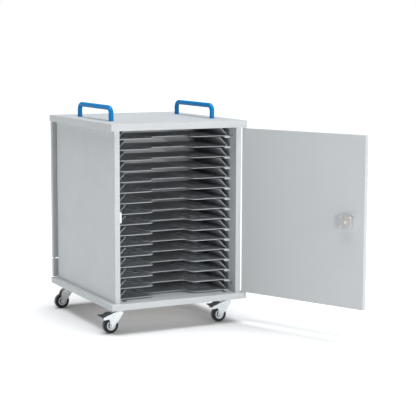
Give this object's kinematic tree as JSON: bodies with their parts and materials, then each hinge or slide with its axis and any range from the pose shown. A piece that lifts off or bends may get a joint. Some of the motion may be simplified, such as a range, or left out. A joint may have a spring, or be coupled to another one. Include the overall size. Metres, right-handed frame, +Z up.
{
  "type": "laptop storage trolley",
  "caption": "Board cabinet on swivel casters with pull-out laptop trays behind a lockable door, a rear compartment and two grab handles",
  "frame": {"origin": "on the floor, under the centre of the cabinet's boards", "axes": "+Z is up, the front faces -Y and +X is the right-hand side seen from the front"},
  "size_m": [0.8676, 1.2149, 0.9012],
  "materials": {
    "grey_board": "light grey melamine-faced board, satin, with matching edge band",
    "rail_plastic": "light grey plastic",
    "tray_plastic": "mid grey moulded plastic with a fine grain",
    "blue_coating": "blue powder coat on steel tube",
    "zinc_steel": "bright zinc-plated pressed steel",
    "white_steel": "white painted steel",
    "dark_steel": "dark passivated steel bolts",
    "connector_cap": "die-cast cam connector faces",
    "black_plastic": "black moulded plastic",
    "nickel_steel": "nickel-plated pressed steel",
    "brass_nickel": "nickel-plated brass",
    "wheel_core": "silver-grey moulded wheel centre",
    "tyre_rubber": "black rubber tread, greyed where it rolls"
  },
  "bodies": {
    "root": {"top_board": "grey_board", "base_board": "grey_board", "left_side_panel": "grey_board", "right_side_panel": "grey_board", "bay_back_panel": "grey_board", "left_tray_rails": "rail_plastic", "right_tray_rails": "rail_plastic", "left_handle": "blue_coating", "right_handle": "blue_coating", "handle_screws": "zinc_steel", "panel_connectors": "connector_cap", "front_strike": "white_steel", "rear_strike": "white_steel", "rear_lower_panel": "grey_board", "rear_panel_brackets": "zinc_steel", "door_pivot_bushes": "rail_plastic", "caster_top_plates": "zinc_steel", "caster_bolts": "dark_steel"},
    "tray_01_slide_body": {"tray_01": "tray_plastic"},
    "tray_02_slide_body": {"tray_02": "tray_plastic"},
    "tray_03_slide_body": {"tray_03": "tray_plastic"},
    "tray_04_slide_body": {"tray_04": "tray_plastic"},
    "tray_05_slide_body": {"tray_05": "tray_plastic"},
    "tray_06_slide_body": {"tray_06": "tray_plastic"},
    "tray_07_slide_body": {"tray_07": "tray_plastic"},
    "tray_08_slide_body": {"tray_08": "tray_plastic"},
    "tray_09_slide_body": {"tray_09": "tray_plastic"},
    "tray_10_slide_body": {"tray_10": "tray_plastic"},
    "tray_11_slide_body": {"tray_11": "tray_plastic"},
    "tray_12_slide_body": {"tray_12": "tray_plastic"},
    "tray_13_slide_body": {"tray_13": "tray_plastic"},
    "tray_14_slide_body": {"tray_14": "tray_plastic"},
    "tray_15_slide_body": {"tray_15": "tray_plastic"},
    "tray_16_slide_body": {"tray_16": "tray_plastic"},
    "front_door_leaf": {"front_door": "grey_board", "front_door_pivots": "zinc_steel", "front_lock_case": "nickel_steel", "front_lock_screws": "zinc_steel"},
    "front_lock_barrel": {"front_lock_cylinder": "brass_nickel"},
    "front_lock_dead_bolt": {"front_lock_bolt": "nickel_steel"},
    "rear_door_leaf": {"rear_door": "grey_board", "rear_door_pivots": "zinc_steel", "rear_lock_case": "nickel_steel", "rear_lock_screws": "zinc_steel"},
    "rear_lock_barrel": {"rear_lock_cylinder": "brass_nickel"},
    "rear_lock_dead_bolt": {"rear_lock_bolt": "nickel_steel"},
    "front_left_caster_swivel": {"front_left_fork": "zinc_steel"},
    "front_left_caster_wheel": {"front_left_wheel": "wheel_core", "front_left_tyre": "tyre_rubber"},
    "front_left_brake": {"front_left_brake_pedal": "black_plastic"},
    "front_right_caster_swivel": {"front_right_fork": "zinc_steel"},
    "front_right_caster_wheel": {"front_right_wheel": "wheel_core", "front_right_tyre": "tyre_rubber"},
    "front_right_brake": {"front_right_brake_pedal": "black_plastic"},
    "rear_left_caster_swivel": {"rear_left_fork": "zinc_steel"},
    "rear_left_caster_wheel": {"rear_left_wheel": "wheel_core", "rear_left_tyre": "tyre_rubber"},
    "rear_right_caster_swivel": {"rear_right_fork": "zinc_steel"},
    "rear_right_caster_wheel": {"rear_right_wheel": "wheel_core", "rear_right_tyre": "tyre_rubber"}
  },
  "joints": [
    {"name": "tray_01_slide", "type": "slide", "parent": "root", "child": "tray_01_slide_body", "axis": [0, -1, 0], "range_m": [0, 0.2]},
    {"name": "tray_02_slide", "type": "slide", "parent": "root", "child": "tray_02_slide_body", "axis": [0, -1, 0], "range_m": [0, 0.2]},
    {"name": "tray_03_slide", "type": "slide", "parent": "root", "child": "tray_03_slide_body", "axis": [0, -1, 0], "range_m": [0, 0.2]},
    {"name": "tray_04_slide", "type": "slide", "parent": "root", "child": "tray_04_slide_body", "axis": [0, -1, 0], "range_m": [0, 0.2]},
    {"name": "tray_05_slide", "type": "slide", "parent": "root", "child": "tray_05_slide_body", "axis": [0, -1, 0], "range_m": [0, 0.2]},
    {"name": "tray_06_slide", "type": "slide", "parent": "root", "child": "tray_06_slide_body", "axis": [0, -1, 0], "range_m": [0, 0.2]},
    {"name": "tray_07_slide", "type": "slide", "parent": "root", "child": "tray_07_slide_body", "axis": [0, -1, 0], "range_m": [0, 0.2]},
    {"name": "tray_08_slide", "type": "slide", "parent": "root", "child": "tray_08_slide_body", "axis": [0, -1, 0], "range_m": [0, 0.2]},
    {"name": "tray_09_slide", "type": "slide", "parent": "root", "child": "tray_09_slide_body", "axis": [0, -1, 0], "range_m": [0, 0.2]},
    {"name": "tray_10_slide", "type": "slide", "parent": "root", "child": "tray_10_slide_body", "axis": [0, -1, 0], "range_m": [0, 0.2]},
    {"name": "tray_11_slide", "type": "slide", "parent": "root", "child": "tray_11_slide_body", "axis": [0, -1, 0], "range_m": [0, 0.2]},
    {"name": "tray_12_slide", "type": "slide", "parent": "root", "child": "tray_12_slide_body", "axis": [0, -1, 0], "range_m": [0, 0.2]},
    {"name": "tray_13_slide", "type": "slide", "parent": "root", "child": "tray_13_slide_body", "axis": [0, -1, 0], "range_m": [0, 0.2]},
    {"name": "tray_14_slide", "type": "slide", "parent": "root", "child": "tray_14_slide_body", "axis": [0, -1, 0], "range_m": [0, 0.2]},
    {"name": "tray_15_slide", "type": "slide", "parent": "root", "child": "tray_15_slide_body", "axis": [0, -1, 0], "range_m": [0, 0.2]},
    {"name": "tray_16_slide", "type": "slide", "parent": "root", "child": "tray_16_slide_body", "axis": [0, -1, 0], "range_m": [0, 0.2]},
    {"name": "front_door_hinge", "type": "hinge", "parent": "root", "child": "front_door_leaf", "pos_m": [0.289, -0.333, 0.127], "axis": [0, 0, 1], "range_deg": [-114, 66]},
    {"name": "front_key_turn", "type": "hinge", "parent": "front_door_leaf", "child": "front_lock_barrel", "pos_m": [0.49877, -0.79677, 0.4695], "axis": [-0.9135, -0.4067, 0], "range_deg": [0, 90.1]},
    {"name": "front_dead_bolt_slide", "type": "slide", "parent": "front_door_leaf", "child": "front_lock_dead_bolt", "axis": [0.4067, -0.9135, 0], "range_m": [0, 0.01]},
    {"name": "rear_door_hinge", "type": "hinge", "parent": "root", "child": "rear_door_leaf", "pos_m": [-0.289, 0.333, 0.207], "axis": [0, 0, 1], "range_deg": [0, 180]},
    {"name": "rear_key_turn", "type": "hinge", "parent": "rear_door_leaf", "child": "rear_lock_barrel", "pos_m": [0.22, 0.336, 0.4695], "axis": [0, -1, 0], "range_deg": [0, 90.1]},
    {"name": "rear_dead_bolt_slide", "type": "slide", "parent": "rear_door_leaf", "child": "rear_lock_dead_bolt", "axis": [1, 0, 0], "range_m": [0, 0.01]},
    {"name": "front_left_swivel", "type": "hinge", "parent": "root", "child": "front_left_caster_swivel", "pos_m": [-0.2435, -0.27, 0.09], "axis": [0, 0, 1], "continuous": true},
    {"name": "front_left_roll", "type": "hinge", "parent": "front_left_caster_swivel", "child": "front_left_caster_wheel", "pos_m": [-0.2795, -0.27, 0.032], "axis": [0, 1, 0], "continuous": true},
    {"name": "front_left_brake_press", "type": "hinge", "parent": "front_left_caster_swivel", "child": "front_left_brake", "pos_m": [-0.272, -0.27, 0.0735], "axis": [0, -1, 0], "range_deg": [0, 8]},
    {"name": "front_right_swivel", "type": "hinge", "parent": "root", "child": "front_right_caster_swivel", "pos_m": [0.2435, -0.27, 0.09], "axis": [0, 0, 1], "continuous": true},
    {"name": "front_right_roll", "type": "hinge", "parent": "front_right_caster_swivel", "child": "front_right_caster_wheel", "pos_m": [0.2075, -0.27, 0.032], "axis": [0, 1, 0], "continuous": true},
    {"name": "front_right_brake_press", "type": "hinge", "parent": "front_right_caster_swivel", "child": "front_right_brake", "pos_m": [0.215, -0.27, 0.0735], "axis": [0, -1, 0], "range_deg": [0, 8]},
    {"name": "rear_left_swivel", "type": "hinge", "parent": "root", "child": "rear_left_caster_swivel", "pos_m": [-0.2435, 0.27, 0.09], "axis": [0, 0, 1], "continuous": true},
    {"name": "rear_left_roll", "type": "hinge", "parent": "rear_left_caster_swivel", "child": "rear_left_caster_wheel", "pos_m": [-0.2795, 0.27, 0.032], "axis": [0, 1, 0], "continuous": true},
    {"name": "rear_right_swivel", "type": "hinge", "parent": "root", "child": "rear_right_caster_swivel", "pos_m": [0.2435, 0.27, 0.09], "axis": [0, 0, 1], "continuous": true},
    {"name": "rear_right_roll", "type": "hinge", "parent": "rear_right_caster_swivel", "child": "rear_right_caster_wheel", "pos_m": [0.2075, 0.27, 0.032], "axis": [0, 1, 0], "continuous": true}
  ],
  "couplings": [
    {"joint": "front_key_turn", "follows": "front_dead_bolt_slide", "rad_per_m": 157.08},
    {"joint": "rear_key_turn", "follows": "rear_dead_bolt_slide", "rad_per_m": 157.08}
  ]
}
